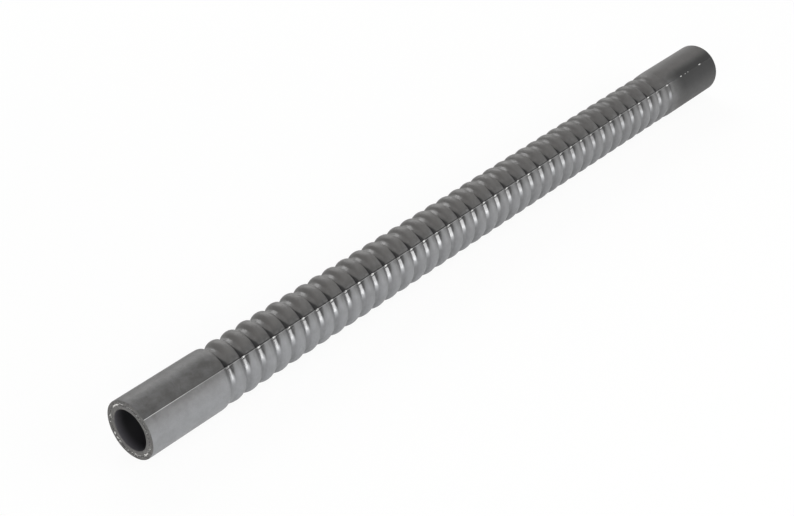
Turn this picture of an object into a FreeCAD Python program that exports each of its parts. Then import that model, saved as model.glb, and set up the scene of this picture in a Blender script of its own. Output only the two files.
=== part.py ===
import FreeCAD, Part
import math
import os

# Heater hose, straight, 430 mm long, for a 19 mm (3/4 in) spigot at each end.
# Three layers are bonded into one wall: an inner rubber tube, a sleeve of knitted yarn and an outer
# rubber cover. Both ends are smooth cuffs for a hose clamp. Between them the cover is corrugated by
# one left-hand helical groove that runs out into each cuff, so that the hose can be bent.
#
# Frame: the origin is the centre of the near mouth, +X runs along the hose to the far mouth and +Z
# is up. The hose lies on its side on the plane z = -CUFF_R.
# All sizes are in millimetres, and all angles in degrees.

# Lengths along the hose
LENGTH = 430.0
CUFF_LENGTH = 43.0
SHOULDER_LENGTH = 4.5

# Wall of the cuffs, from the bore outwards
BORE = 19.0
CUFF_TUBE_WALL = 1.95
YARN_THICKNESS = 0.6
CUFF_COVER_WALL = 1.7

# Wall of the corrugated body, where the yarn sleeve necks in so that it passes under the groove
BODY_TUBE_WALL = 0.8
ROOT_COVER_WALL = 0.65
NECK_LENGTH = 12.0

# Helical groove: the land is the width of the ridge's top, between two turns of the groove
PITCH = 9.09
GROOVE_DEPTH = 1.75
LAND_WIDTH = 3.3
GROOVE_MARGIN = 2.0
GROOVE_START_ANGLE = 40.0
RUNOUT_TURNS = 0.55
CUTTER_GAP = 0.4
CUTTER_CLEARANCE = 0.1

# Radii that follow from the walls
BORE_R = BORE / 2
YARN_CUFF_R = BORE_R + CUFF_TUBE_WALL
COVER_CUFF_R = YARN_CUFF_R + YARN_THICKNESS
CUFF_R = COVER_CUFF_R + CUFF_COVER_WALL
YARN_BODY_R = BORE_R + BODY_TUBE_WALL
COVER_BODY_R = YARN_BODY_R + YARN_THICKNESS
ROOT_R = COVER_BODY_R + ROOT_COVER_WALL
CREST_R = ROOT_R + GROOVE_DEPTH

# Groove section: a vee whose flanks rise from the root to the edges of the land
FLANK_TANGENT = GROOVE_DEPTH / ((PITCH - LAND_WIDTH) / 2)
CUTTER_HALF_WIDTH = (PITCH - CUTTER_GAP) / 2
OUTER_R = max(CUFF_R, CREST_R)
GROOVE_REACH = (OUTER_R - ROOT_R) / FLANK_TANGENT

# The groove has its full depth between these two places
GROOVE_START = CUFF_LENGTH + GROOVE_REACH + GROOVE_MARGIN
GROOVE_END = LENGTH - GROOVE_START
GROOVE_TURNS = (GROOVE_END - GROOVE_START) / PITCH

ORIGIN = FreeCAD.Vector(0, 0, 0)
ALONG = FreeCAD.Vector(0, 0, 1)
RADIAL = FreeCAD.Vector(1, 0, 0)


# The layers and the groove are made about the Z axis, starting at z = 0, and laid down at the end.
def point(along, radius):
    """A point of the half section: its distance from the near mouth and from the axis."""
    return FreeCAD.Vector(radius, 0, along)


def line(start, end):
    """A straight edge of the half section."""
    return Part.LineSegment(start, end).toShape()


def stepped_line(cuff_r, body_r, step_start, step_end):
    """The half section of a surface with one radius in the cuffs and another in the body."""
    points = [
        point(0, cuff_r),
        point(step_start, cuff_r),
        point(step_end, body_r),
        point(LENGTH - step_end, body_r),
        point(LENGTH - step_start, cuff_r),
        point(LENGTH, cuff_r),
    ]
    return [line(start, end) for start, end in zip(points, points[1:])]


def yarn_inside():
    """Where the yarn sleeve lies on the inner tube."""
    return stepped_line(YARN_CUFF_R, YARN_BODY_R, CUFF_LENGTH - NECK_LENGTH, CUFF_LENGTH)


def yarn_outside():
    """Where the outer cover lies on the yarn sleeve."""
    return stepped_line(COVER_CUFF_R, COVER_BODY_R, CUFF_LENGTH - NECK_LENGTH, CUFF_LENGTH)


def cover_outside():
    """The outside of the hose, before the groove is cut."""
    return stepped_line(CUFF_R, CREST_R, CUFF_LENGTH, CUFF_LENGTH + SHOULDER_LENGTH)


def ring(inner, outer):
    """The solid between two half sections, closed by the square cuts at both mouths."""
    inner_r = inner[0].Vertexes[0].X
    outer_r = outer[0].Vertexes[0].X
    ends = [line(point(at, inner_r), point(at, outer_r)) for at in (0, LENGTH)]
    section = Part.Wire(Part.sortEdges(inner + outer + ends)[0])
    return Part.Face(section).revolve(ORIGIN, ALONG, 360)


def groove_section():
    """The cutter's section in the plane of the axis, with its point on the groove's root."""
    flank_top = ROOT_R + CUTTER_HALF_WIDTH * FLANK_TANGENT
    top = max(OUTER_R, flank_top) + CUTTER_CLEARANCE
    corners = [
        point(0, ROOT_R),
        point(CUTTER_HALF_WIDTH, flank_top),
        point(CUTTER_HALF_WIDTH, top),
        point(-CUTTER_HALF_WIDTH, top),
        point(-CUTTER_HALF_WIDTH, flank_top),
        point(0, ROOT_R),
    ]
    return Part.makePolygon(corners)


def sweep(helix):
    """The cutter, carried along a helix that starts at the section."""
    pipe = Part.BRepOffsetAPI.MakePipeShell(helix)
    pipe.setFrenetMode(True)
    pipe.add(groove_section())
    pipe.build()
    pipe.makeSolid()
    return pipe.shape()


def turned(shape, angle, at):
    """A copy of a cutter, turned about the hose's axis and moved along it."""
    placed = shape.copy()
    placed.rotate(ORIGIN, ALONG, angle)
    placed.translate(ALONG * at)
    return placed


def groove_cutters():
    """The groove's full-depth run, and the run-outs where it climbs out of the wall."""
    full = sweep(Part.makeLongHelix(PITCH, GROOVE_TURNS * PITCH, ROOT_R, 0, True))
    climb = OUTER_R - ROOT_R + CUTTER_CLEARANCE
    advance = RUNOUT_TURNS * PITCH
    cone_angle = math.degrees(math.atan2(climb, advance))
    runout = sweep(Part.makeHelix(PITCH, advance, ROOT_R, cone_angle, True))
    reversed_runout = runout.copy()
    reversed_runout.rotate(ORIGIN, RADIAL, 180)
    end_angle = GROOVE_START_ANGLE - 360 * GROOVE_TURNS
    return [
        turned(full, GROOVE_START_ANGLE, GROOVE_START),
        turned(reversed_runout, GROOVE_START_ANGLE, GROOVE_START),
        turned(runout, end_angle, GROOVE_END),
    ]


def inner_tube():
    """The smooth rubber tube that carries the coolant."""
    bore = [line(point(0, BORE_R), point(LENGTH, BORE_R))]
    return ring(bore, yarn_inside())


def yarn_reinforcement():
    """The knitted sleeve, which shows as a ring in the cut face of each mouth."""
    return ring(yarn_inside(), yarn_outside())


def outer_cover():
    """The moulded rubber cover, with the groove cut into it."""
    cover = ring(yarn_outside(), cover_outside())
    for cutter in groove_cutters():
        cover = cover.cut(cutter)
    return cover


def laid_down(shape):
    """The hose as it lies: its axis turned from +Z to +X, and the angle 0 turned up to +Z."""
    rotation = FreeCAD.Rotation(ALONG, FreeCAD.Vector(0, -1, 0), RADIAL, "XZY")
    shape.Placement = FreeCAD.Placement(ORIGIN, rotation)
    return shape


def solid_of(shape):
    """The one closed solid of a layer, which must be valid."""
    assert len(shape.Solids) == 1 and shape.isValid()
    return shape.Solids[0]


def main():
    os.makedirs("parts", exist_ok=True)
    for make in (inner_tube, yarn_reinforcement, outer_cover):
        layer = solid_of(laid_down(make()))
        layer.exportStep("parts/" + make.__name__ + ".step")
        print(make.__name__, "volume", round(layer.Volume), "mm3")


main()
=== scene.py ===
import math
import random

import bpy
import numpy as np
from bpy.props import FloatProperty, FloatVectorProperty, IntProperty, PointerProperty
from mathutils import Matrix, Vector


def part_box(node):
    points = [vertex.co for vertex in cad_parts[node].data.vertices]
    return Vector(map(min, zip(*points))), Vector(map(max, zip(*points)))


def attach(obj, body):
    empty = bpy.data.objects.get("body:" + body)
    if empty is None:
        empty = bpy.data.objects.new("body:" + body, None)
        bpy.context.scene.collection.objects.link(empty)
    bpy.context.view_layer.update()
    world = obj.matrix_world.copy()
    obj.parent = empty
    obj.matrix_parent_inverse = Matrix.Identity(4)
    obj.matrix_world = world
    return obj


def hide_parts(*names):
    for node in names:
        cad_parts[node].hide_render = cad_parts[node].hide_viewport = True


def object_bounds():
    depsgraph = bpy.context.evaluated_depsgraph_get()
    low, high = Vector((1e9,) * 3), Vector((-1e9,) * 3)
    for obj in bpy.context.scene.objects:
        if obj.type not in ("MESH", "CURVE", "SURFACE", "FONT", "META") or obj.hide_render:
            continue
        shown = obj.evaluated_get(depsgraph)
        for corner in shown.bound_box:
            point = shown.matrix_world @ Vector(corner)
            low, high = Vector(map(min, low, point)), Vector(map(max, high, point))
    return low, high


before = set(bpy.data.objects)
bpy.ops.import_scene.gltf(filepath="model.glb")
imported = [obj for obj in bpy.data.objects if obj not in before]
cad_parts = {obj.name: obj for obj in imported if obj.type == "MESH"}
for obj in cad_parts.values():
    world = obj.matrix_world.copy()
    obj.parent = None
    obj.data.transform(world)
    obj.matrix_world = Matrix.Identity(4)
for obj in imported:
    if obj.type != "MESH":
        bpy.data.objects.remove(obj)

bl_info = {
    "name": "Heater hose",
    "version": (1, 0, 0),
    "blender": (4, 5, 0),
    "location": "View3D > Sidebar > Hose",
    "description": "Dresses the packed model of a corrugated heater hose",
    "category": "Add Mesh",
}

# Mesh coordinates are in metres. The hose lies along +X, and angles about its axis are in degrees,
# from straight up towards the side that faces the camera.
MM = 0.001
CAD_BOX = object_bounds()
TUBE_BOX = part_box("inner_tube")
COVER_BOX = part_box("outer_cover")
LENGTH = (COVER_BOX[1].x - COVER_BOX[0].x) / MM
CUFF_RADIUS = COVER_BOX[1].z / MM
YARN_RADIUS = TUBE_BOX[1].z / MM

# The wall and the groove, as they are in the part's source, in millimetres
BORE_RADIUS = 9.5
COVER_RADIUS = 12.05
YARN_BODY_RADIUS = 10.3
COVER_BODY_RADIUS = 10.9
ROOT_RADIUS = 11.55
CUFF_LENGTH = 43.0
NECK_LENGTH = 12.0
PITCH = 9.09
GROOVE_START = 48.64
GROOVE_START_ANGLE = 40.0
GROOVE_TURNS = (LENGTH - 2 * GROOVE_START) / PITCH
RUNOUT_TURNS = 0.55

# The moulded groove lies a little nearer the near mouth than in the solids, and is a little deeper
GROOVE_SHIFT = 1.0
GROOVE_SINK = 0.15


class HoseSizes(bpy.types.PropertyGroup):
    """Sizes of the moulded detail, in millimetres."""

    ridge_radius: FloatProperty(
        name="Ridge radius",
        description="Radius of the corrugation's rounded tops, in millimetres",
        default=13.48,
        min=13.0,
        max=CUFF_RADIUS,
    )
    seam_angle: FloatProperty(
        name="Seam angle",
        description="Where the mould halves meet, in degrees from straight up",
        default=43.0,
    )
    flash_height: FloatProperty(
        name="Flash height",
        description="How far the mould's parting line stands up, in millimetres",
        default=0.16,
        min=0.0,
        max=0.4,
    )
    row_length: FloatProperty(
        name="Row length",
        description="Spacing of the cover's mesh rows along the corrugation, in millimetres",
        default=0.5,
        min=0.3,
        max=2.0,
    )
    yarn_ends: IntProperty(
        name="Yarn ends",
        description="Number of cut yarn ends that show in each mouth's face",
        default=84,
        min=0,
        max=160,
    )


def colour_setting(name, description, default):
    """A colour property."""
    return FloatVectorProperty(
        name=name,
        description=description,
        subtype="COLOR",
        size=3,
        min=0.0,
        max=1.0,
        default=default,
    )


class HoseFinish(bpy.types.PropertyGroup):
    """Colours of the hose."""

    rubber: colour_setting("Rubber", "Colour of the moulded cover", (0.060, 0.058, 0.0555))
    # The bloom's colour also paints light on the lower half and on the ridges' sides, and a highlight on the
    # grooves' floors
    bloom_and_light: colour_setting("Bloom", "Colour of the pale bloom on the rubber", (0.222, 0.226, 0.234))
    # The grime's colour also paints shade in the grooves, along the parting line and on the far cuff
    grime_and_shade: colour_setting("Grime", "Colour of what has gathered in the grooves", (0.020, 0.020, 0.020))
    # The flash's pale colour is a painted highlight on it
    flash_highlight: colour_setting("Flash", "Colour of the torn rubber along the parting lines", (0.66, 0.66, 0.65))
    cut_rubber: colour_setting("Cut rubber", "Colour of the sawn faces at both mouths", (0.128, 0.124, 0.120))
    bore: colour_setting("Bore", "Colour of the bore's wall", (0.014, 0.0135, 0.015))
    yarn: colour_setting("Yarn", "Colour of the reinforcing yarn", (0.72, 0.71, 0.69))


class StageSettings(bpy.types.PropertyGroup):
    """Floor and camera."""

    floor: colour_setting("Floor", "Colour of the floor", (0.93, 0.94, 0.935))
    focal_length: FloatProperty(
        name="Focal length",
        description="Focal length of the camera's lens, in millimetres",
        subtype="DISTANCE_CAMERA",
        default=70.95,
    )


# Helpers for node trees


def add_node(tree, kind, inputs=None, **settings):
    """A node with these settings. An input is given by name or number, as a value or as a socket."""
    made = tree.nodes.new("ShaderNode" + kind)
    for name, value in settings.items():
        setattr(made, name, value)
    for name, value in (inputs or {}).items():
        if isinstance(value, bpy.types.NodeSocket):
            tree.links.new(value, made.inputs[name])
        else:
            made.inputs[name].default_value = value
    return made


def arithmetic(tree, operation, first, second=0.0):
    """The result of a Math node."""
    return add_node(tree, "Math", {0: first, 1: second}, operation=operation).outputs[0]


def product(tree, first, *others):
    """Values multiplied together."""
    for other in others:
        first = arithmetic(tree, "MULTIPLY", first, other)
    return first


def distance(tree, value, middle):
    """How far a value is from another, either way."""
    return arithmetic(tree, "ABSOLUTE", arithmetic(tree, "SUBTRACT", value, middle))


def between(tree, value, low, high, to_low=0.0, to_high=1.0):
    """A value that goes smoothly from to_low to to_high as the given one goes from low to high."""
    inputs = {"Value": value, "From Min": low, "From Max": high, "To Min": to_low, "To Max": to_high}
    return add_node(tree, "MapRange", inputs, interpolation_type="SMOOTHSTEP").outputs[0]


def band(tree, value, middle, inner, outer, strength=1.0):
    """A mask that is as strong as given up to inner away from the middle, and gone at outer."""
    return between(tree, distance(tree, value, middle), inner, outer, strength, 0.0)


def blended(tree, amount, first, second, blend_type="MIX"):
    """The colour of a Mix node."""
    inputs = {0: amount, 6: first, 7: second}
    return add_node(tree, "Mix", inputs, data_type="RGBA", blend_type=blend_type).outputs[2]


def noise(tree, vector, scale, detail=2.0, roughness=0.5, distortion=0.0):
    """The value of a Noise Texture."""
    inputs = {"Vector": vector, "Scale": scale, "Detail": detail}
    inputs.update({"Roughness": roughness, "Distortion": distortion})
    return add_node(tree, "TexNoise", inputs).outputs[0]


def opaque(colour, factor=1.0):
    """A property's colour, made lighter or darker by a factor, with an alpha."""
    return tuple(min(part * factor, 1.0) for part in colour) + (1.0,)


# Shared node groups


def new_group(name, inputs, outputs):
    """An empty node group with these sockets. It returns the tree, its inputs and its output node."""
    tree = bpy.data.node_groups.new(name, "ShaderNodeTree")
    for socket_name, kind, default in inputs:
        kind = "NodeSocket" + kind
        socket = tree.interface.new_socket(name=socket_name, in_out="INPUT", socket_type=kind)
        socket.default_value = default
    for socket_name, kind in outputs:
        tree.interface.new_socket(name=socket_name, in_out="OUTPUT", socket_type="NodeSocket" + kind)
    return tree, tree.nodes.new("NodeGroupInput").outputs, tree.nodes.new("NodeGroupOutput").inputs


def finish_group(tree, outputs, **values):
    """Wires a group's output sockets."""
    for name, socket in values.items():
        tree.links.new(socket, outputs[name.replace("_", " ")])
    return tree


def place_group():
    """Where a point is: radius and place along the axis in metres, angle, and pitches off the groove."""
    outputs = [("Radius", "Float"), ("Along", "Float"), ("Angle", "Float"), ("Position", "Vector")]
    outputs += [("Off groove", "Float")]
    tree, _, out = new_group("Place on the hose", [], outputs)
    position = add_node(tree, "TexCoord").outputs["Object"]
    x, y, z = add_node(tree, "SeparateXYZ", {0: position}).outputs
    radius = arithmetic(tree, "ADD", product(tree, y, y), product(tree, z, z))
    radius = arithmetic(tree, "SQRT", radius)
    toward = product(tree, y, -1.0)
    angle = arithmetic(tree, "DEGREES", arithmetic(tree, "ARCTAN2", toward, z))
    turn = arithmetic(tree, "DIVIDE", arithmetic(tree, "SUBTRACT", angle, GROOVE_START_ANGLE), 360.0)
    pitches = arithmetic(tree, "SUBTRACT", x, (GROOVE_START - GROOVE_SHIFT) * MM)
    pitches = arithmetic(tree, "DIVIDE", pitches, PITCH * MM)
    phase = arithmetic(tree, "ADD", arithmetic(tree, "ADD", pitches, turn), 0.5)
    off = arithmetic(tree, "SUBTRACT", arithmetic(tree, "FRACT", phase), 0.5)
    return finish_group(tree, out, Radius=radius, Along=x, Angle=angle, Position=position, Off_groove=off)


# Grain: the scale of its coarse layer, as a share of the fine one's, and where mottling starts and is
# full
COARSE_SHARE = 0.22
MOTTLE_EDGE = (0.3, 0.7)


def grain_group():
    """Fine grain of moulded or cut rubber, and broad mottling."""
    inputs = [("Position", "Vector", (0, 0, 0)), ("Grain size", "Float", 0.0006)]
    inputs += [("Mottle size", "Float", 0.012), ("Coarseness", "Float", 0.5)]
    tree, given, out = new_group("Rubber grain", inputs, [("Height", "Float"), ("Mottle", "Float")])
    fine_scale = arithmetic(tree, "DIVIDE", 1.0, given["Grain size"])
    broad_scale = arithmetic(tree, "DIVIDE", 1.0, given["Mottle size"])
    fine = noise(tree, given["Position"], fine_scale, detail=3.0, roughness=0.6)
    coarse = noise(tree, given["Position"], product(tree, fine_scale, COARSE_SHARE))
    mixed = arithmetic(tree, "ADD", fine, product(tree, coarse, given["Coarseness"]))
    broad = noise(tree, given["Position"], broad_scale, detail=4.0, roughness=0.6, distortion=0.6)
    return finish_group(tree, out, Height=mixed, Mottle=between(tree, broad, *MOTTLE_EDGE))


# Dust: where its patches start and are full, how fine its specks are, and what lies between them
DUST_PATCHES = (0.35, 0.75)
DUST_SPECKS = (0.45, 0.75)
DUST_SPECK_SCALE = 2600.0
DUST_FILM = 0.6


def dust_group():
    """Pale dust and bloom in patches, over another colour."""
    inputs = [("Color", "Color", (0.1, 0.1, 0.1, 1)), ("Dust", "Color", (0.3, 0.3, 0.3, 1))]
    inputs += [("Position", "Vector", (0, 0, 0)), ("Amount", "Float", 0.5), ("Patch size", "Float", 0.01)]
    tree, given, out = new_group("Dust", inputs, [("Color", "Color"), ("Mask", "Float")])
    scale = arithmetic(tree, "DIVIDE", 1.0, given["Patch size"])
    patches = noise(tree, given["Position"], scale, detail=5.0, roughness=0.65, distortion=0.8)
    specks = between(tree, noise(tree, given["Position"], DUST_SPECK_SCALE), *DUST_SPECKS)
    specks = arithmetic(tree, "ADD", specks, DUST_FILM)
    mask = product(tree, between(tree, patches, *DUST_PATCHES), specks, given["Amount"])
    return finish_group(tree, out, Color=blended(tree, mask, given["Color"], given["Dust"]), Mask=mask)


# Wear: how uneven the rubbing is, how sharply it keeps to the tops, and how far up the grime reaches
RUBBING_SCALE = 260.0
RUBBING_PATCHES = (0.35, 0.7)
RUBBING_SHARPNESS = 4.0
GRIME_REACH = (0.0, 0.55)


def wear_group():
    """Rubbing where the surface is highest, and grime where it is lowest."""
    inputs = [("Color", "Color", (0.1, 0.1, 0.1, 1)), ("Worn", "Color", (0.3, 0.3, 0.3, 1))]
    inputs += [("Grime", "Color", (0.02, 0.02, 0.02, 1)), ("Radius", "Float", 0.012)]
    inputs += [("Low", "Float", 0.0115), ("High", "Float", 0.0134), ("Position", "Vector", (0, 0, 0))]
    inputs += [("Amount", "Float", 0.5)]
    tree, given, out = new_group("Edge wear", inputs, [("Color", "Color"), ("Rubbed", "Float")])
    height = between(tree, given["Radius"], given["Low"], given["High"])
    uneven = noise(tree, given["Position"], RUBBING_SCALE, detail=4.0, roughness=0.6)
    top = arithmetic(tree, "POWER", height, RUBBING_SHARPNESS)
    rubbed = product(tree, top, between(tree, uneven, *RUBBING_PATCHES), given["Amount"])
    deep = arithmetic(tree, "SUBTRACT", 1.0, between(tree, height, *GRIME_REACH))
    colour = blended(tree, product(tree, deep, given["Amount"]), given["Color"], given["Grime"])
    return finish_group(tree, out, Color=blended(tree, rubbed, colour, given["Worn"]), Rubbed=rubbed)


def build_groups():
    """The shared node groups, built once."""
    for make in (place_group, grain_group, dust_group, wear_group):
        make()


def use_group(tree, name, inputs=None):
    """A shared node group, placed in a material."""
    return add_node(tree, "Group", inputs, node_tree=bpy.data.node_groups[name]).outputs


# Materials


def new_material(name):
    """A material with an empty tree and a Principled shader."""
    made = bpy.data.materials.new(name)
    made.use_nodes = True
    tree = made.node_tree
    tree.nodes.clear()
    shader = add_node(tree, "BsdfPrincipled")
    output = add_node(tree, "OutputMaterial")
    tree.links.new(shader.outputs[0], output.inputs[0])
    return made, tree, shader


def bump(tree, shader, height, depth):
    """Feeds a height to the shader's normal. The depth, in metres, is what a height of 1 stands for."""
    made = add_node(tree, "Bump", {"Height": height, "Distance": depth, "Strength": 1.0})
    tree.links.new(made.outputs[0], shader.inputs["Normal"])


def from_mouths(tree, place, deep, shallow):
    """0 further in than deep, and 1 nearer to either mouth than shallow, both in metres."""
    half_length = LENGTH * MM / 2
    off_middle = distance(tree, place["Along"], half_length)
    return between(tree, off_middle, half_length - deep, half_length - shallow)


def cut_face(tree, position, finish, mottle_size, dark_share):
    """The colour and the height of sawn rubber."""
    inputs = {"Position": position, "Grain size": 0.0004, "Mottle size": mottle_size}
    grain = use_group(tree, "Rubber grain", inputs)
    dark = opaque(finish.cut_rubber, dark_share)
    return blended(tree, grain["Mottle"], dark, opaque(finish.cut_rubber)), grain["Height"]


# Cut faces: how near a mouth they begin and are full, in metres, how broad their mottling is in the
# two layers, and how dark its dark patches are
CUT_FACE = (0.35 * MM, 0.15 * MM)
COVER_CUT_MOTTLE = 1.6 * MM
COVER_CUT_DARK = 0.55
TUBE_CUT_MOTTLE = 1.8 * MM
TUBE_CUT_DARK = 0.6

# The marks on the cover. Along is in metres from the near mouth, side is the sine of the angle below
# the parting line, up is the same above it, and off is in pitches from the groove's middle.
# A range is what it measures, where it starts and ends, and the mask's values there, if not 0 and 1.
# Numbers alone are a range whose measure is named where it is used. A band is its middle, how far
# off that it starts to fade and is gone, and its strength, if not 1.
LOWER_HALF = (-0.012, 0.012)
BODY = (("along", 0.040, 0.046, 0.0, 1.0), ("along", 0.384, 0.390, 1.0, 0.0))

# How much lighter than the settings' colours the mottled rubber, the painted light on the top, the worn
# ridges, the painted light on the ridges' sides and the painted highlight on the grooves' floors are
MOTTLED_RUBBER = 1.30
TOP_LIGHT_LIGHTNESS = 1.95
WORN_BLOOM = 1.12
LIT_SIDE_LIGHTNESS = 1.9
GROOVE_HIGHLIGHT_LIGHTNESS = 2.0

# Pale bloom on the lower half, partly painted light: lighter towards the bottom, thinner towards the far cuff
# and towards the line
LOWER_BLOOM_AND_LIGHT = (
    ("along", 0.372, 0.396, 0.90, 0.0),
    ("along", 0.03, 0.37, 1.0, 0.62),
    ("side", -0.15, 0.70, 0.04, 1.0),
)
BLOOM_CLOUDS = (0.3, 0.7, 0.84, 1.06)
BLOOM_CLOUD_SCALE = 120.0
SPECKLE = (0.45, 1.05)
SPECKLE_COLOUR = (0.88, 0.88, 0.88, 1)

# Painted light on the upper half, lighter towards the top, and painted shade above the line towards the near
# cuff
TOP_LIGHT = (
    ("up", 0.05, 0.50, 0.0, 0.76),
    ("along", 0.04, 0.05, 0.0, 1.0),
    ("along", 0.24, 0.34, 1.0, 0.78),
)
LINE_SHADE = (("up", 0.02, 0.36, 0.40, 0.0), ("along", 0.06, 0.17, 1.0, 0.0))

# Painted light and painted shade on the two sides of the ridges below the line, and a painted highlight on
# each groove's floor lower down below the line
LIT_SIDE_BAND = (0.34, 0.02, 0.16, 0.19)
LIT_SIDE = (("side", 0.30, 0.60, 1.0, 0.0), ("along", 0.14, 0.34, 1.0, 0.25))
SHADED_SIDE_BAND = (-0.27, 0.05, 0.22, 0.33)
SHADED_SIDE = (("side", 0.34, 0.60, 1.0, 0.0),)
GROOVE_HIGHLIGHT_BAND = (0.03, 0.06, 0.15)
GROOVE_HIGHLIGHT = (("side", 0.24, 0.40, 0.0, 1.0), ("side", 0.44, 0.70, 0.55, 0.0))

# Painted shade in the grooves above the line, at their near wall, and below it, at the far one. It also lies
# along the line and over the far cuff.
ABOVE_REACH = (0.0, 0.62, 0.125, -0.12)
ABOVE_EDGE = (-0.03, 0.10)
ABOVE = (("off", -0.30, -0.22, 0.0, 1.0), ("along", 0.376, 0.383, 1.0, 0.0))
BELOW_MIDDLE = 0.160
BELOW_REACH = (0.02, 0.64, 0.115, -0.03)
BELOW_EDGE = (-0.02, 0.08, 0.0, 0.95)
LINE_BAND = (-0.030, 0.010, 0.030, 0.8)
FAR_CUFF_SHADE = (
    ("along", 0.380, 0.398, 0.0, 1.0),
    ("up", 0.12, 0.54, 1.0, 0.0),
    ("side", 0.30, 0.95, 1.0, 0.58),
)
# Nearly black painted shade, deepest in the grooves above the line
DEEPEST_SHARE = 0.30
DEEPEST_COLOUR = (0.003, 0.003, 0.003, 1)

# Painted highlight on the flash where the line crosses a groove, painted shade in the gap below it, a painted
# highlight along the line, which is strongest at the near mouth, and painted highlight flecks on the far cuff
WEB_BAND = (-0.04, 0.05, 0.11)
WEB_HIGHLIGHT_BAND = (0.010, 0.024, 0.040)
WEB_HIGHLIGHT_SCALE = 700.0
WEB_HIGHLIGHT_BREAKS = (0.36, 0.50)
GAP_BAND = (0.066, 0.008, 0.024, 0.85)
LINE_HIGHLIGHT_BAND = (0.0, 0.004, 0.012)
LINE_HIGHLIGHT = (("along", 0.010, 0.040, 0.62, 0.24), ("along", 0.384, 0.390, 1.0, 0.0))
FLECK_BAND = (0.0, 0.010, 0.022)
FLECK_SCALE = 420.0
FLECK_BREAKS = (0.56, 0.62)
FLECKS = (("along", 0.392, 0.396, 0.0, 1.0),)

# Gloss on the grooves' floors: a strip that widens towards the far end and is narrow in the first
# groove, strong below the line and faint above it
GLOSS_MIDDLE = 0.035
GLOSS_WIDTH = (0.08, 0.38, 0.12, 0.21)
FIRST_GLOSS_WIDTH = (0.050, 0.055, 0.075, 0.20)
GLOSS_EDGE = (0.0, 0.06)
GLOSS_BELOW = (("side", 0.36, 0.66, 1.0, 0.0), ("side", 0.06, 0.11, 0.0, 1.0))
GLOSS_ABOVE = 0.14
GLOSS_SCALE = 150.0
GLOSS_PATCHES = (0.3, 0.7, 0.75, 1.0)
GLOSS_ALONG = (("along", 0.16, 0.34, 1.0, 0.42), ("along", 0.378, 0.383, 1.0, 0.0))
GLOSS_ROUGHNESS = 0.165
GLOSS_IOR = 2.25

# Roughness of clean rubber, and what the marks add to it
CLEAN_ROUGHNESS = 0.44
GROOVE_SHADE_ROUGHNESS = 0.4
MOTTLE_ROUGHNESS = 0.05
DUST_ROUGHNESS = 0.25
FAR_CUFF_SHADE_ROUGHNESS = 0.25
CUT_ROUGHNESS = 0.4


def ranged(tree, at, ranges):
    """The product of smooth ranges over the places of the cover."""
    return product(tree, *[between(tree, at[name], *ends) for name, *ends in ranges])


def cover_places(tree, sizes):
    """Where a point of the cover is, and masks of the two mould halves and of the body."""
    place = use_group(tree, "Place on the hose")
    turned = arithmetic(tree, "SUBTRACT", place["Angle"], sizes.seam_angle)
    side = arithmetic(tree, "SINE", arithmetic(tree, "RADIANS", turned))
    at = {"along": place["Along"], "off": place["Off groove"], "side": side}
    at["position"] = place["Position"]
    at["radius"] = place["Radius"]
    at["up"] = product(tree, side, -1.0)
    at["lower"] = between(tree, side, *LOWER_HALF)
    at["upper"] = arithmetic(tree, "SUBTRACT", 1.0, at["lower"])
    at["body"] = ranged(tree, at, BODY)
    at["cut"] = from_mouths(tree, place, *CUT_FACE)
    return at


def bloomed_and_lit_rubber(tree, at, grain, finish):
    """Mottled rubber with the pale bloom of the lower half, partly painted light that grows towards the
    bottom, finely speckled.
    """
    colour = blended(tree, grain["Mottle"], opaque(finish.rubber), opaque(finish.rubber, MOTTLED_RUBBER))
    clouds = noise(tree, at["position"], BLOOM_CLOUD_SCALE, detail=4.0, roughness=0.65)
    clouds = between(tree, clouds, *BLOOM_CLOUDS)
    # Bloom with painted light: paler towards the bottom and towards the near end
    pale = product(tree, at["lower"], ranged(tree, at, LOWER_BLOOM_AND_LIGHT), clouds)
    colour = blended(tree, pale, colour, opaque(finish.bloom_and_light))
    darker = blended(tree, 1.0, colour, SPECKLE_COLOUR, "MULTIPLY")
    return blended(tree, between(tree, grain["Height"], *SPECKLE), darker, colour)


def shade_above(tree, at):
    """Painted shade at the near wall of the grooves above the line, narrower the further up it is."""
    reach = between(tree, at["up"], *ABOVE_REACH)
    mask = between(tree, arithmetic(tree, "SUBTRACT", reach, at["off"]), *ABOVE_EDGE)
    return product(tree, mask, ranged(tree, at, ABOVE), at["upper"], at["body"])


def shade_below(tree, at):
    """Painted shade at the far wall of the grooves below the line, narrower the further down it is."""
    reach = between(tree, at["side"], *BELOW_REACH)
    off_middle = distance(tree, at["off"], BELOW_MIDDLE)
    mask = between(tree, arithmetic(tree, "SUBTRACT", reach, off_middle), *BELOW_EDGE)
    return product(tree, mask, at["lower"])


def painted_shade(tree, at, above, far_cuff_shade):
    """All the painted shade: in the grooves, along the line and on the far cuff."""
    shade_mask = arithmetic(tree, "ADD", above, shade_below(tree, at))
    shade_mask = arithmetic(tree, "MAXIMUM", shade_mask, band(tree, at["side"], *LINE_BAND))
    return arithmetic(tree, "MAXIMUM", product(tree, shade_mask, at["body"]), far_cuff_shade)


def ridge_side(tree, at, side_band, ranges):
    """A mask on one side of each ridge below the line."""
    mask = band(tree, at["off"], *side_band)
    return product(tree, mask, at["lower"], at["body"], ranged(tree, at, ranges))


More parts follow.
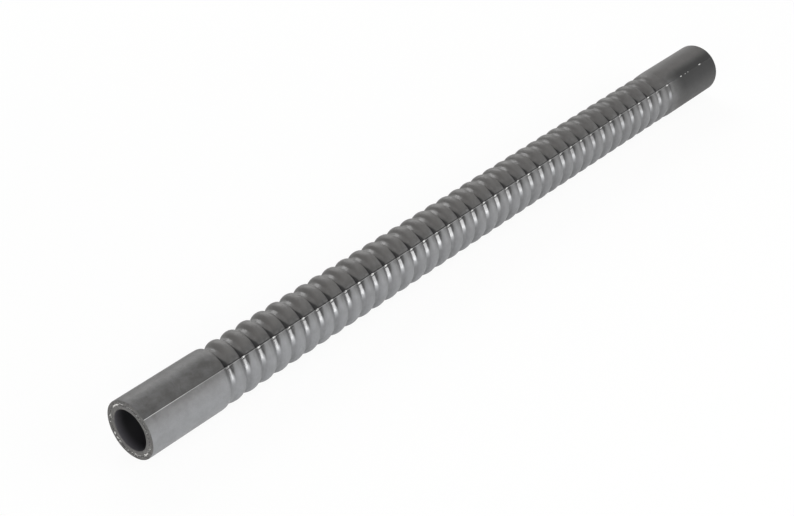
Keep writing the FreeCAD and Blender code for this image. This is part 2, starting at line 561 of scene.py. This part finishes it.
def painted_flash_highlight(tree, at, web):
    """Painted highlights on the flash: in the grooves, along the line up to the far cuff, and flecks on that
    cuff.
    """
    breaks = noise(tree, at["position"], WEB_HIGHLIGHT_SCALE, roughness=0.6)
    web_highlight = product(tree, band(tree, at["side"], *WEB_HIGHLIGHT_BAND), between(tree, breaks, *WEB_HIGHLIGHT_BREAKS), web)
    line_highlight = product(tree, band(tree, at["side"], *LINE_HIGHLIGHT_BAND), ranged(tree, at, LINE_HIGHLIGHT))
    breaks = noise(tree, at["position"], FLECK_SCALE, detail=1.0)
    flecks = product(tree, band(tree, at["side"], *FLECK_BAND), between(tree, breaks, *FLECK_BREAKS))
    flecks = product(tree, flecks, ranged(tree, at, FLECKS))
    return arithmetic(tree, "MAXIMUM", arithmetic(tree, "MAXIMUM", web_highlight, line_highlight), flecks)


def groove_gloss(tree, at):
    """How glossy a point is: a patchy strip on the groove's floor, fainter above the line."""
    width = between(tree, at["along"], *GLOSS_WIDTH)
    width = arithmetic(tree, "MINIMUM", width, between(tree, at["along"], *FIRST_GLOSS_WIDTH))
    off_middle = distance(tree, at["off"], GLOSS_MIDDLE)
    strip = between(tree, arithmetic(tree, "SUBTRACT", width, off_middle), *GLOSS_EDGE)
    below = product(tree, ranged(tree, at, GLOSS_BELOW), at["lower"])
    strength = arithmetic(tree, "ADD", below, product(tree, at["upper"], GLOSS_ABOVE))
    patches = between(tree, noise(tree, at["position"], GLOSS_SCALE), *GLOSS_PATCHES)
    return product(tree, strip, patches, strength, at["body"], ranged(tree, at, GLOSS_ALONG))


def cover_material(finish, sizes):
    """Moulded rubber: two slightly different halves, mottling, bloom, rubbed ridges and grooves, with painted
    light, painted shade and painted highlights over them.
    """
    made, tree, shader = new_material("Cover rubber")
    at = cover_places(tree, sizes)
    position = at["position"]
    grime_and_shade = opaque(finish.grime_and_shade)
    inputs = {"Position": position, "Grain size": 0.00045, "Mottle size": 0.014}
    grain = use_group(tree, "Rubber grain", inputs)
    inputs = {"Color": bloomed_and_lit_rubber(tree, at, grain, finish), "Dust": opaque(finish.bloom_and_light)}
    inputs.update({"Position": position, "Amount": 0.20, "Patch size": 0.006})
    dust = use_group(tree, "Dust", inputs)
    inputs = {"Color": dust["Color"], "Worn": opaque(finish.bloom_and_light, WORN_BLOOM), "Grime": grime_and_shade}
    inputs.update({"Radius": at["radius"], "Low": ROOT_RADIUS * MM, "High": sizes.ridge_radius * MM})
    inputs.update({"Position": position, "Amount": 0.14})
    colour = use_group(tree, "Edge wear", inputs)["Color"]

    above = shade_above(tree, at)
    far_cuff_shade = ranged(tree, at, FAR_CUFF_SHADE)
    shade_mask = painted_shade(tree, at, above, far_cuff_shade)
    web = product(tree, band(tree, at["off"], *WEB_BAND), at["body"])
    # Painted highlight that carries the glossy streak further down each groove's floor
    groove_highlight = product(tree, ranged(tree, at, GROOVE_HIGHLIGHT), band(tree, at["off"], *GROOVE_HIGHLIGHT_BAND))
    cut_colour, cut_height = cut_face(tree, position, finish, COVER_CUT_MOTTLE, COVER_CUT_DARK)
    # Layers: painted light on the top, painted shade above the line, painted light and shade on the ridges'
    # sides, a painted highlight on the grooves' floors, painted shade in the grooves, along the line and on
    # the far cuff, the flash's painted highlight, and the cut faces
    layers = (
        (ranged(tree, at, TOP_LIGHT), opaque(finish.rubber, TOP_LIGHT_LIGHTNESS)),
        (product(tree, ranged(tree, at, LINE_SHADE), at["upper"]), grime_and_shade),
        (ridge_side(tree, at, LIT_SIDE_BAND, LIT_SIDE), opaque(finish.bloom_and_light, LIT_SIDE_LIGHTNESS)),
        (ridge_side(tree, at, SHADED_SIDE_BAND, SHADED_SIDE), grime_and_shade),
        (product(tree, groove_highlight, at["body"]), opaque(finish.bloom_and_light, GROOVE_HIGHLIGHT_LIGHTNESS)),
        (shade_mask, grime_and_shade),
        (product(tree, above, DEEPEST_SHARE), DEEPEST_COLOUR),
        # Painted shade in the gap below the web
        (product(tree, band(tree, at["side"], *GAP_BAND), web), grime_and_shade),
        (painted_flash_highlight(tree, at, web), opaque(finish.flash_highlight)),
        (at["cut"], cut_colour),
    )
    for mask, layer_colour in layers:
        colour = blended(tree, mask, colour, layer_colour)
    tree.links.new(colour, shader.inputs["Base Color"])

    rough = CLEAN_ROUGHNESS
    rougher = (
        (product(tree, above, shade_mask), GROOVE_SHADE_ROUGHNESS),
        (grain["Mottle"], MOTTLE_ROUGHNESS),
        (dust["Mask"], DUST_ROUGHNESS),
        (far_cuff_shade, FAR_CUFF_SHADE_ROUGHNESS),
        (at["cut"], CUT_ROUGHNESS),
    )
    for mask, amount in rougher:
        rough = arithmetic(tree, "ADD", rough, product(tree, mask, amount))
    tree.links.new(rough, shader.inputs["Roughness"])
    tree.links.new(groove_gloss(tree, at), shader.inputs["Coat Weight"])
    shader.inputs["Coat Roughness"].default_value = GLOSS_ROUGHNESS
    shader.inputs["Coat IOR"].default_value = GLOSS_IOR
    height = arithmetic(tree, "ADD", grain["Height"], product(tree, at["cut"], cut_height))
    bump(tree, shader, height, depth=0.06 * MM)
    return made


# How far into the bore its wall has painted light, in metres, and how much paler than the bore that painted
# light is
BORE_LIGHT_DEPTH = 5.2 * MM
LIT_BORE = 5.2

# How dark and how pale the bore's mottling is, and how rough the tube is in its bore and where cut
DARK_BORE = 0.7
PALE_BORE = 1.1
BORE_ROUGHNESS = 0.42
CUT_TUBE_ROUGHNESS = 0.77


def tube_material(finish):
    """The inner tube: a nearly black smooth bore, with painted light just inside its mouths, and sawn faces.
    """
    made, tree, shader = new_material("Tube rubber")
    place = use_group(tree, "Place on the hose")
    position = place["Position"]
    cut_colour, cut_height = cut_face(tree, position, finish, TUBE_CUT_MOTTLE, TUBE_CUT_DARK)
    inputs = {"Position": position, "Grain size": 0.0012, "Mottle size": 0.02}
    mottle = use_group(tree, "Rubber grain", inputs)["Mottle"]
    colour = blended(tree, mottle, opaque(finish.bore, DARK_BORE), opaque(finish.bore, PALE_BORE))
    # Painted light just inside both mouths
    lit_mouth = from_mouths(tree, place, BORE_LIGHT_DEPTH, 0.0)
    colour = blended(tree, lit_mouth, colour, opaque(finish.bore, LIT_BORE))
    cut = from_mouths(tree, place, *CUT_FACE)
    tree.links.new(blended(tree, cut, colour, cut_colour), shader.inputs["Base Color"])
    rougher = product(tree, cut, CUT_TUBE_ROUGHNESS - BORE_ROUGHNESS)
    rough = arithmetic(tree, "ADD", BORE_ROUGHNESS, rougher)
    tree.links.new(rough, shader.inputs["Roughness"])
    bump(tree, shader, product(tree, cut_height, cut), depth=0.1 * MM)
    return made


# Yarn: how fine its strands are, and how broad and how sharp the patches that rubber has soaked into
STRAND_SCALE = 5200.0
SOAKED_SCALE = 330.0
SOAKED_EDGE = (0.40, 0.54)
SOAKED_SHARE = 0.22


def yarn_material(finish):
    """Twisted textile yarn, darker where rubber has soaked in."""
    made, tree, shader = new_material("Yarn")
    position = use_group(tree, "Place on the hose")["Position"]
    soaked = noise(tree, position, SOAKED_SCALE, detail=3.0, roughness=0.6)
    soaked = between(tree, soaked, *SOAKED_EDGE)
    colour = blended(tree, soaked, opaque(finish.yarn), opaque(finish.yarn, SOAKED_SHARE))
    tree.links.new(colour, shader.inputs["Base Color"])
    shader.inputs["Roughness"].default_value = 0.8
    bump(tree, shader, noise(tree, position, STRAND_SCALE), depth=0.1 * MM)
    return made


# Shapes, in millimetres and degrees


def smooth_step(value, low, high):
    """0 below low, 1 above high and a smooth climb between."""
    t = np.clip((value - low) / (high - low), 0.0, 1.0)
    return t * t * (3 - 2 * t)


# Slope of the cover along one pitch, from one ridge's top over the groove to the next: the groove's
# near wall is steep, and its floor rises gently towards the far one. Places are in pitches.
WALL_PLACES = (-0.5, -0.34, -0.28, -0.17, -0.12, 0.12, 0.17, 0.25, 0.31, 0.5)
WALL_SLOPES = (0.0, 0.25, 1.05, 1.05, -0.06, -0.16, -0.80, -0.80, -0.36, 0.0)
WALL_STEPS = 801
WALL_TABLE = np.linspace(-0.5, 0.5, WALL_STEPS)


def wall_fall():
    """How far down the wall is at each place of the table, 0 at a ridge and 1 at the root."""
    fall = np.cumsum(np.interp(WALL_TABLE, WALL_PLACES, WALL_SLOPES))
    fall = fall - fall[-1] * np.linspace(0.0, 1.0, WALL_STEPS)
    return fall / fall.max()


WALL_FALL = wall_fall()


def groove_shape(x, angle):
    """How deep in the helical groove a point is, 0 at a ridge and 1 at the root."""
    turn = (angle - GROOVE_START_ANGLE) / 360
    phase = (x + GROOVE_SHIFT - GROOVE_START) / PITCH + turn
    nearest = np.round(phase)
    travelled = nearest - turn
    climb = np.maximum(-travelled, travelled - GROOVE_TURNS) / RUNOUT_TURNS
    depth = 1 - np.clip(climb, 0.0, 1.0)
    return depth * np.interp(phase - nearest, WALL_TABLE, WALL_FALL)


def seam_distance(angle, seam):
    """Signed distance in degrees from the nearer of the two parting lines."""
    return (angle - seam + 90) % 180 - 90


def unevenness(x, angle):
    """Slight hand-made unevenness of the surface, from -1 to 1."""
    around = np.radians(angle)
    waves = np.sin(x / 17.0 + 2 * around) + np.sin(x / 7.3 - 3 * around + 1.3)
    waves += np.sin(x / 29.0 + around + 4.1) + np.sin(x / 4.1 + 5 * around + 0.7) * 0.5
    return waves / 3.5


# The cover's surface: how far its cuffs lie inside the box, how far from a mouth the ridges and the
# body's marks set in, how uneven it is, and how it rises towards a parting line
CUFF_INSET = 0.03
SHOULDER = (42.0, 50.0)
BODY_ENDS = (40.0, 48.0)
UNEVENNESS = 0.025
LINE_RISE = 0.07
LINE_RISE_WIDTH = 1.5

# The trench beside a line on its upper side, the flash on the line, and the web under it in a groove
TRENCH_DEPTH = 0.11
TRENCH_PLACE = 0.55
TRENCH_WIDTH = 0.28
FLASH_WIDTH = 0.22
FLASH_LOSS_ON_BODY = 0.45
WEB_WIDTH = 0.42
WEB_DEPTH = 0.85

# How much a mouth's outer edge is rounded, and over what length
EDGE_ROUNDING = 0.12
EDGE_ROUNDING_LENGTH = 0.3


def cover_radius(x, angle, sizes):
    """The cover's radius at a place along the hose and an angle about it."""
    seam = sizes.seam_angle
    ends = np.minimum(x, LENGTH - x)
    cuff = CUFF_RADIUS - CUFF_INSET
    ridge = cuff + (sizes.ridge_radius - cuff) * smooth_step(ends, *SHOULDER)
    radius = ridge - groove_shape(x, angle) * (ridge - ROOT_RADIUS + GROOVE_SINK)
    radius = radius + UNEVENNESS * unevenness(x, angle)
    off = seam_distance(angle, seam)
    arc = np.radians(np.abs(off)) * CUFF_RADIUS
    upper = (off < 0) if seam < 90 else (off > 0)
    on_body = smooth_step(ends, *BODY_ENDS)
    radius = radius + LINE_RISE * np.exp(-arc / LINE_RISE_WIDTH)
    trench = TRENCH_DEPTH * on_body * np.exp(-(((arc - TRENCH_PLACE) / TRENCH_WIDTH) ** 2))
    radius = radius - np.where(upper, trench, 0.0)
    line = np.exp(-((arc / FLASH_WIDTH) ** 2))
    uneven_line = 0.75 + 0.25 * np.sin(x * 1.9) * np.sin(x * 0.37 + 1.0)
    radius = radius + sizes.flash_height * line * uneven_line * (1 - FLASH_LOSS_ON_BODY * on_body)
    web = np.exp(-((arc / WEB_WIDTH) ** 4))
    web_radius = ridge - WEB_DEPTH
    radius = np.where(radius < web_radius, radius + (web_radius - radius) * web, radius)
    return radius - EDGE_ROUNDING * np.exp(-((ends / EDGE_ROUNDING_LENGTH) ** 2))


# Mesh columns from one parting line towards the other, in degrees, with the first, the last and the
# number of those between, and mesh rows from a mouth inwards
COLUMNS_AT_LINE = [0.0, 0.45, 0.95, 1.6, 2.5, 4.0]
COLUMNS_BETWEEN = (6.5, 173.5, 46)
ROWS_AT_MOUTH = [0.0, 0.12, 0.3, 0.6, 1.0, 1.8, 3.0, 5.0] + [8.0 + 3.0 * step for step in range(10)]
BODY_ROWS_START = 37.0


def seam_columns(seam):
    """Angles of the mesh columns, closer together at both parting lines."""
    middle = np.linspace(*COLUMNS_BETWEEN)
    half = COLUMNS_AT_LINE + list(middle) + [180 - angle for angle in reversed(COLUMNS_AT_LINE[1:])]
    return np.array([seam + start + angle for start in (0.0, 180.0) for angle in half])


def rows_along(row_length):
    """Places of the cover's mesh rows, from the near mouth."""
    body_end = LENGTH - BODY_ROWS_START
    count = round((LENGTH - 2 * BODY_ROWS_START) / row_length)
    middle = np.linspace(BODY_ROWS_START, body_end, count)
    return np.concatenate([ROWS_AT_MOUTH, middle, [LENGTH - x for x in reversed(ROWS_AT_MOUTH)]])


def ring_points(x, radius, angles):
    """Points of rings about the axis, where x and radius may be single numbers."""
    around = np.radians(angles)
    return np.stack([x + 0 * around, -radius * np.sin(around), radius * np.cos(around)], axis=-1)


# The saw's two cuts are the same waves with different starts. The sum of the waves' heights is added,
# so that the cuts never lie outside the box.
SAW_DEPTH = 0.035
SAW_WAVES = 2.1
NEAR_CUT = 0.4
FAR_CUT = 2.2


def cut_waviness(angle, radius, start):
    """How far the saw went off the square cut, never outwards."""
    around = np.radians(angle)
    wave = np.sin(3 * around + start) + np.sin(7 * around - 2 * start) * 0.6
    wave = wave + np.sin(radius * 2.3 + 5 * around) * 0.5
    return SAW_DEPTH * (wave + SAW_WAVES)


def near_face(angles, radii):
    """Rings of the near cut face, from the outside in."""
    return [ring_points(cut_waviness(angles, r, NEAR_CUT), r, angles) for r in radii]


def far_face(angles, radii):
    """Rings of the far cut face, from the outside in."""
    return [ring_points(LENGTH - cut_waviness(angles, r, FAR_CUT), r, angles) for r in radii]


# Rows of the boundaries between the layers: near both faces, through both necks and along the body
NECK_ROWS = np.array([0.4, 31.0, 37.0, 43.0, 130.0, 215.0, 300.0, 387.0, 393.0, 399.0, 429.6])


def boundary(angles, cuff, body):
    """Rings of the boundary between two layers, which necks in between the cuffs and the body."""
    ends = np.minimum(NECK_ROWS, LENGTH - NECK_ROWS)
    share = np.clip((ends - CUFF_LENGTH + NECK_LENGTH) / NECK_LENGTH, 0.0, 1.0)
    return [ring_points(x, cuff + (body - cuff) * t, angles) for x, t in zip(NECK_ROWS, share)]


def mesh_piece(name, points, faces, material, slot, *nodes):
    """A smooth-shaded piece that rides on the hose and stands for these CAD nodes."""
    mesh = bpy.data.meshes.new(name)
    mesh.from_pydata(points, [], faces)
    mesh.materials.append(material)
    mesh.polygons.foreach_set("use_smooth", [True] * len(mesh.polygons))
    mesh.update()
    piece = bpy.data.objects.new(name, mesh)
    bpy.context.scene.collection.objects.link(piece)
    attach(piece, "root")
    if nodes:
        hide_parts(*nodes)
    return piece


def ring_piece(name, rings, material, slot, *nodes):
    """A closed piece from rings of points, with the last ring joined to the first."""
    grid = np.array(rings)
    rows, columns = grid.shape[:2]
    faces = []
    for row in range(rows):
        here = row * columns
        following = (row + 1) % rows * columns
        for column in range(columns):
            beside = (column + 1) % columns
            faces.append((here + column, here + beside, following + beside, following + column))
    return mesh_piece(name, (grid.reshape(-1, 3) * MM).tolist(), faces, material, slot, *nodes)


# Pieces

# How far behind the cut face the cover's first rows stay, the radius at which that is measured, and
# the rings of the face
EDGE_INSETS = (0.10, 0.16, 0.26)
EDGE_RADIUS = 13.0
COVER_FACE_RADII = (13.25, 12.85, 12.45, COVER_RADIUS)


class HOSE_OT_cover(bpy.types.Operator):
    """Moulded outer cover with its cuffs, helical corrugation and parting lines"""

    bl_idname = "hose.cover"
    bl_label = "Outer cover"

    def execute(self, context):
        sizes, finish = context.scene.hose_sizes, context.scene.hose_finish
        angles = seam_columns(sizes.seam_angle)
        x = rows_along(sizes.row_length)
        radius = cover_radius(x[:, None], angles[None, :], sizes)
        places = np.repeat(x[:, None], len(angles), axis=1)
        near_cut = cut_waviness(angles, EDGE_RADIUS, NEAR_CUT)
        far_cut = LENGTH - cut_waviness(angles, EDGE_RADIUS, FAR_CUT)
        for row, inset in enumerate(EDGE_INSETS):
            places[row] = np.maximum(places[row], near_cut + inset)
            places[-1 - row] = np.minimum(places[-1 - row], far_cut - inset)
        outside = list(ring_points(places, radius, np.broadcast_to(angles, radius.shape)))
        inside = boundary(angles, COVER_RADIUS, COVER_BODY_RADIUS)
        rings = outside + far_face(angles, COVER_FACE_RADII)
        rings += inside[::-1] + near_face(angles, COVER_FACE_RADII)[::-1]
        ring_piece("cover", rings, cover_material(finish, sizes), "cover_rubber", "outer_cover")
        return {"FINISHED"}


# The tube's mesh: its columns, the rings of its faces and the rows of its bore
TUBE_COLUMNS = 128
TUBE_FACE_RADII = (YARN_RADIUS - 0.02, 10.95, 10.4, 9.85)
BORE_ROWS = (0.45, 2.0, 43.0, 130.0, 215.0, 300.0, 387.0, 428.0, 429.55)

# The rounded lip of the bore at both mouths
LIP_RADIUS = BORE_RADIUS + 0.08
LIP_CUT_RADIUS = BORE_RADIUS + 0.1
LIP_INSET = 0.12


class HOSE_OT_tube(bpy.types.Operator):
    """Inner tube with its smooth bore and sawn faces"""

    bl_idname = "hose.tube"
    bl_label = "Inner tube"

    def execute(self, context):
        finish = context.scene.hose_finish
        angles = np.linspace(0.0, 360.0, TUBE_COLUMNS, endpoint=False)
        outside = boundary(angles, YARN_RADIUS, YARN_BODY_RADIUS)
        bore = [ring_points(at, BORE_RADIUS, angles) for at in BORE_ROWS]
        near_x = cut_waviness(angles, LIP_CUT_RADIUS, NEAR_CUT) + LIP_INSET
        far_x = LENGTH - LIP_INSET - cut_waviness(angles, LIP_CUT_RADIUS, FAR_CUT)
        near_lip = ring_points(near_x, LIP_RADIUS, angles)
        far_lip = ring_points(far_x, LIP_RADIUS, angles)
        rings = outside + far_face(angles, TUBE_FACE_RADII) + [far_lip]
        rings += bore[::-1] + [near_lip] + near_face(angles, TUBE_FACE_RADII)[::-1]
        ring_piece("tube", rings, tube_material(finish), "tube_rubber", "inner_tube")
        return {"FINISHED"}


# Cut yarn ends: rings that shrink towards the cut face, as a share of the end's size and how far in
# they lie, and last the point in the middle of the end
END_RINGS = ((1.0, 0.35), (0.92, 0.12), (0.62, 0.02), (0.0, 0.0))
END_SIDES = 10
END_INSET = 0.02

# Yarn ends stand in two rows about this radius. The drawn numbers are how far an end is off its place
# along and across its row, its size, its tilt in radians, and how often it is missing.
END_RADIUS = 11.75
END_ROW_OFFSET = 0.34
END_OFF_ALONG = 0.35
END_OFF_ACROSS = 0.12
END_HALF_LENGTHS = (0.20, 0.50)
END_LENGTHENINGS = (0.0, 0.0, 0.25)
END_HALF_WIDTHS = (0.14, 0.28)
END_TILT = 0.5
MISSING_SHARE = 0.22


def yarn_end_points(at, inwards, angle, radius, half_length, half_width, tilt):
    """Points of one cut yarn end, ring by ring."""
    points = []
    for size, depth in END_RINGS:
        sides = END_SIDES if size else 1
        for side in range(sides):
            turn = 2 * math.pi * side / sides
            along = half_length * size * math.cos(turn)
            across = half_width * size * math.sin(turn)
            around = angle + (along * math.cos(tilt) - across * math.sin(tilt)) / radius
            out = radius + along * math.sin(tilt) + across * math.cos(tilt)
            x = at + inwards * (depth + END_INSET)
            points.append((x * MM, -out * math.sin(around) * MM, out * math.cos(around) * MM))
    return points


def yarn_end_faces(start):
    """Faces of one cut yarn end, whose points begin at this number."""
    faces = []
    last_ring = start + 2 * END_SIDES
    tip = start + 3 * END_SIDES
    for ring in (start, start + END_SIDES):
        for side in range(END_SIDES):
            a = ring + side
            b = ring + (side + 1) % END_SIDES
            faces.append((a, b, b + END_SIDES, a + END_SIDES))
    for side in range(END_SIDES):
        faces.append((last_ring + side, last_ring + (side + 1) % END_SIDES, tip))
    faces.append(tuple(start + side for side in reversed(range(END_SIDES))))
    return faces


def cut_yarn(at, inwards, count, draw):
    """Points and faces of the cut yarn ends in one mouth's face."""
    points, faces = [], []
    for index in range(count):
        angle = math.radians((index + draw.uniform(-END_OFF_ALONG, END_OFF_ALONG)) * 360 / count)
        row_offset = END_ROW_OFFSET if index % 2 else -END_ROW_OFFSET
        radius = END_RADIUS + row_offset + draw.uniform(-END_OFF_ACROSS, END_OFF_ACROSS)
        half_length = draw.uniform(*END_HALF_LENGTHS) + draw.choice(END_LENGTHENINGS)
        half_width = draw.uniform(*END_HALF_WIDTHS)
        tilt = draw.uniform(-END_TILT, END_TILT)
        if draw.random() < MISSING_SHARE:
            continue
        faces += yarn_end_faces(len(points))
        points += yarn_end_points(at, inwards, angle, radius, half_length, half_width, tilt)
    if inwards < 0:
        faces = [tuple(reversed(face)) for face in faces]
    return points, faces


# Mesh columns of the yarn sleeve
YARN_COLUMNS = 96


class HOSE_OT_yarn(bpy.types.Operator):
    """Knitted yarn sleeve, with its cut ends standing in both mouths' faces"""

    bl_idname = "hose.yarn"
    bl_label = "Yarn sleeve"

    def execute(self, context):
        sizes, finish = context.scene.hose_sizes, context.scene.hose_finish
        material = yarn_material(finish)
        angles = np.linspace(0.0, 360.0, YARN_COLUMNS, endpoint=False)
        outside = boundary(angles, COVER_RADIUS, COVER_BODY_RADIUS)
        inside = boundary(angles, YARN_RADIUS, YARN_BODY_RADIUS)
        ring_piece("yarn_sleeve", outside + inside[::-1], material, "yarn", "yarn_reinforcement")
        for name, at, inwards, seed in (("near_yarn_ends", 0.0, 1.0, 3), ("far_yarn_ends", LENGTH, -1.0, 8)):
            points, faces = cut_yarn(at, inwards, sizes.yarn_ends, random.Random(seed))
            mesh_piece(name, points, faces, material, "yarn")
        return {"FINISHED"}


# Stage, in metres
FLOOR_REACH = 6
FLOOR_GAP = 0.05 * MM
FLOOR_GLOW = 0.92
FLOOR_GLOW_COLOUR = (1.0, 1.0, 0.998, 1)

# The sky is pale up to the first of these heights, as a share of straight up, and dim from the second
SKY_RANGE = (0.05, 0.55)
LOW_SKY = (0.80, 0.80, 0.79, 1)
HIGH_SKY = (0.20, 0.20, 0.205, 1)
WHITE = (1.0, 1.0, 1.0, 1)

# Name, place, what it is aimed at, width and height in metres, and power in watts
LAMPS = (
    ("side lamp", (0.62, -0.75, 0.36), (0.25, 0.0, 0.0), 0.80, 0.75, 5.8),
    ("left lamp", (-0.85, -0.55, 0.45), (0.15, 0.0, 0.0), 0.70, 0.60, 9.5),
    ("back lamp", (0.64, 0.84, 0.55), (0.20, 0.0, 0.0), 0.90, 0.55, 6.0),
    ("top lamp", (0.00, -0.10, 1.20), (0.10, 0.0, 0.0), 0.80, 0.80, 1.8),
)

CAMERA_PLACE = (-0.3014, -0.3980, 0.4008)
CAMERA_FORWARD = (0.63713, 0.54357, -0.54644)
SENSOR_WIDTH = 36.0
NEAREST_SEEN = 0.01


class HOSE_OT_stage(bpy.types.Operator):
    """Pale floor, soft lamps and the camera"""

    bl_idname = "hose.stage"
    bl_label = "Stage"

    def execute(self, context):
        stage = context.scene.hose_stage
        make_floor(stage)
        make_world()
        make_lamps()
        make_camera(stage)
        context.scene.view_settings.view_transform = "Standard"
        return {"FINISHED"}


def floor_material(stage):
    """A matt pale floor, which looks nearly white to the camera and in reflections."""
    made, tree, shader = new_material("Floor")
    shader.inputs["Base Color"].default_value = opaque(stage.floor)
    shader.inputs["Roughness"].default_value = 0.9
    shader.inputs["Specular IOR Level"].default_value = 0.1
    path = add_node(tree, "LightPath").outputs
    seen = arithmetic(tree, "MAXIMUM", path["Is Camera Ray"], path["Is Glossy Ray"])
    seen = arithmetic(tree, "MAXIMUM", seen, path["Is Transmission Ray"])
    glow = add_node(tree, "Emission", {"Color": FLOOR_GLOW_COLOUR, "Strength": 1.0})
    amount = product(tree, seen, FLOOR_GLOW)
    mixed = add_node(tree, "MixShader", {0: amount, 1: shader.outputs[0], 2: glow.outputs[0]})
    tree.links.new(mixed.outputs[0], tree.nodes["Material Output"].inputs[0])
    return made


def make_floor(stage):
    """A wide pale floor just under the hose."""
    mesh = bpy.data.meshes.new("floor")
    z = CAD_BOX[0][2] - FLOOR_GAP
    r = FLOOR_REACH
    mesh.from_pydata([(-r, -r, z), (r, -r, z), (r, r, z), (-r, r, z)], [], [(0, 1, 2, 3)])
    floor = bpy.data.objects.new("floor", mesh)
    bpy.context.scene.collection.objects.link(floor)
    mesh.materials.append(floor_material(stage))


def make_world():
    """Pale low down, as a light tent's walls are, and dimmer overhead."""
    world = bpy.data.worlds.new("Studio")
    bpy.context.scene.world = world
    world.use_nodes = True
    tree = world.node_tree
    tree.nodes.clear()
    direction = add_node(tree, "TexCoord").outputs["Generated"]
    height = add_node(tree, "SeparateXYZ", {0: direction}).outputs[2]
    colour = blended(tree, between(tree, height, *SKY_RANGE), LOW_SKY, HIGH_SKY)
    path = add_node(tree, "LightPath").outputs
    colour = blended(tree, path["Is Camera Ray"], colour, WHITE)
    background = add_node(tree, "Background", {"Color": colour, "Strength": 1.0})
    output = add_node(tree, "OutputWorld")
    tree.links.new(background.outputs[0], output.inputs[0])


def make_lamps():
    """Soft area lamps."""
    for name, place, aim, width, height, power in LAMPS:
        light = bpy.data.lights.new(name, "AREA")
        light.shape = "RECTANGLE"
        light.size = width
        light.size_y = height
        light.energy = power
        lamp = bpy.data.objects.new(name, light)
        lamp.location = place
        lamp.rotation_euler = (Vector(aim) - Vector(place)).to_track_quat("-Z", "Y").to_euler()
        bpy.context.scene.collection.objects.link(lamp)


def make_camera(stage):
    """The camera, at the photograph's viewing angle."""
    data = bpy.data.cameras.new("camera")
    data.sensor_width = SENSOR_WIDTH
    data.lens = stage.focal_length
    data.clip_start = NEAREST_SEEN
    camera = bpy.data.objects.new("camera", data)
    camera.location = CAMERA_PLACE
    camera.rotation_euler = Vector(CAMERA_FORWARD).to_track_quat("-Z", "Y").to_euler()
    bpy.context.scene.collection.objects.link(camera)
    bpy.context.scene.camera = camera


class HOSE_PT_panel(bpy.types.Panel):
    """Lists the hose's pieces and its settings"""

    bl_idname = "HOSE_PT_panel"
    bl_label = "Heater hose"
    bl_space_type = "VIEW_3D"
    bl_region_type = "UI"
    bl_category = "Hose"

    def draw(self, context):
        for operator in OPERATORS:
            self.layout.operator(operator.bl_idname)
        for name in SETTINGS:
            settings = getattr(context.scene, name)
            box = self.layout.box()
            for setting in settings.__annotations__:
                box.prop(settings, setting)


SETTINGS = {"hose_sizes": HoseSizes, "hose_finish": HoseFinish, "hose_stage": StageSettings}
OPERATORS = (HOSE_OT_cover, HOSE_OT_tube, HOSE_OT_yarn, HOSE_OT_stage)


def register():
    """Registers the settings, the operators and the panel."""
    for name, settings in SETTINGS.items():
        bpy.utils.register_class(settings)
        setattr(bpy.types.Scene, name, PointerProperty(type=settings))
    for made in OPERATORS + (HOSE_PT_panel,):
        bpy.utils.register_class(made)


def unregister():
    """Takes them out again."""
    for made in reversed(OPERATORS + (HOSE_PT_panel,)):
        bpy.utils.unregister_class(made)
    for name, settings in SETTINGS.items():
        delattr(bpy.types.Scene, name)
        bpy.utils.unregister_class(settings)


def main():
    register()
    build_groups()
    bpy.ops.hose.stage()
    bpy.ops.hose.cover()
    bpy.ops.hose.tube()
    bpy.ops.hose.yarn()


if __name__ == "__main__":
    main()
